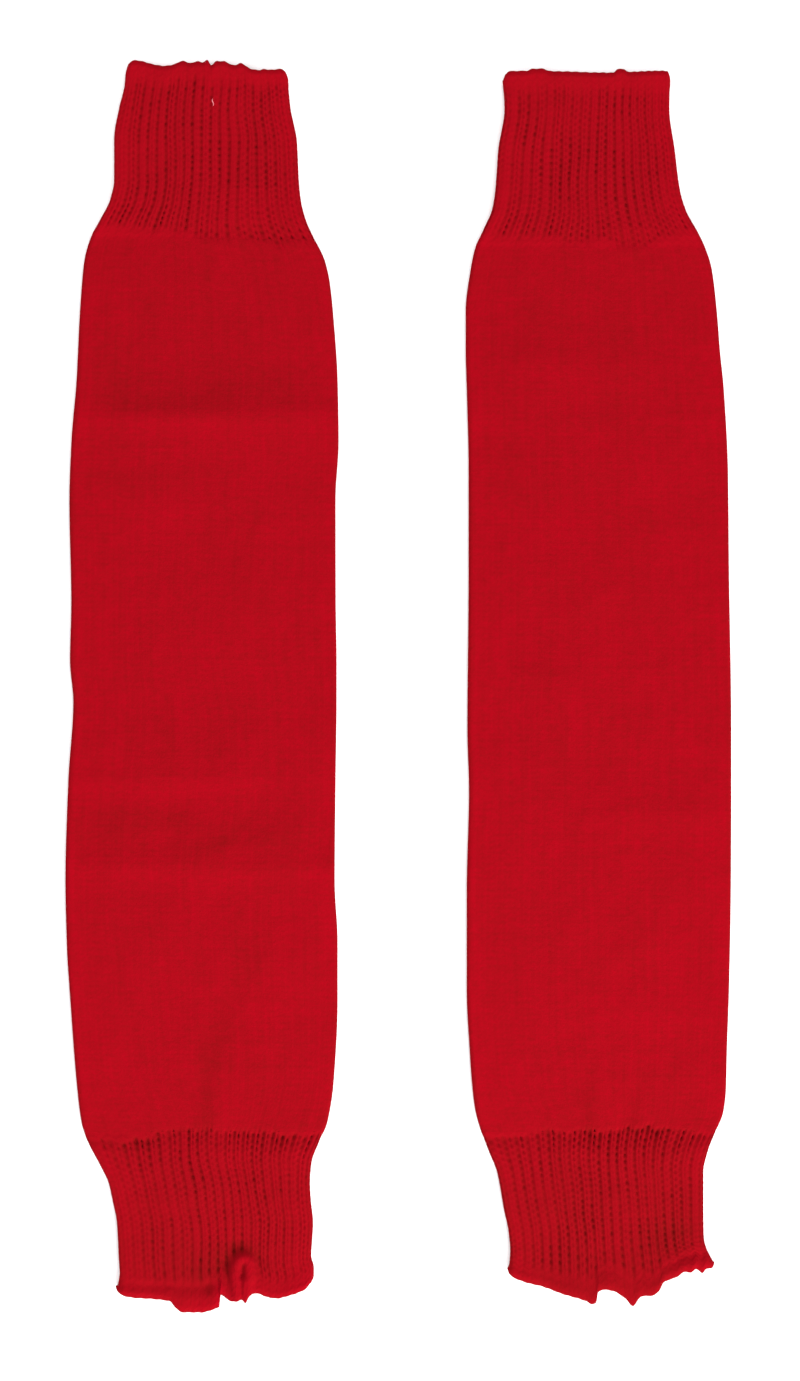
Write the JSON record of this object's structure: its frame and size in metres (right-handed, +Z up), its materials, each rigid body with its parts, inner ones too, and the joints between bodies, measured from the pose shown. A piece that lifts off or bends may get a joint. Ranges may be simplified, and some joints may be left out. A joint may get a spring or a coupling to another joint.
{
  "type": "pair_of_leg_warmers",
  "caption": "Pair of red knitted leg warmers laid flat: plain tubes with a ribbed cuff at each open end, worn over the lower legs to keep them warm",
  "frame": {"origin": "middle of the pair's bounding box, on the surface that the leg warmers lie on", "axes": "+Z up from the surface, +Y along the tubes towards their top hems, +X towards the right leg warmer"},
  "size_m": [0.3226, 0.6062, 0.007],
  "materials": {
    "left_top_cuff_knit": "matte",
    "left_leg_knit": "matte",
    "left_bottom_cuff_knit": "matte",
    "right_top_cuff_knit": "matte",
    "right_leg_knit": "matte",
    "right_bottom_cuff_knit": "matte"
  },
  "bodies": {
    "root": {"left_top_cuff": "left_top_cuff_knit", "left_leg": "left_leg_knit", "left_bottom_cuff": "left_bottom_cuff_knit", "right_top_cuff": "right_top_cuff_knit", "right_leg": "right_leg_knit", "right_bottom_cuff": "right_bottom_cuff_knit"}
  },
  "joints": []
}
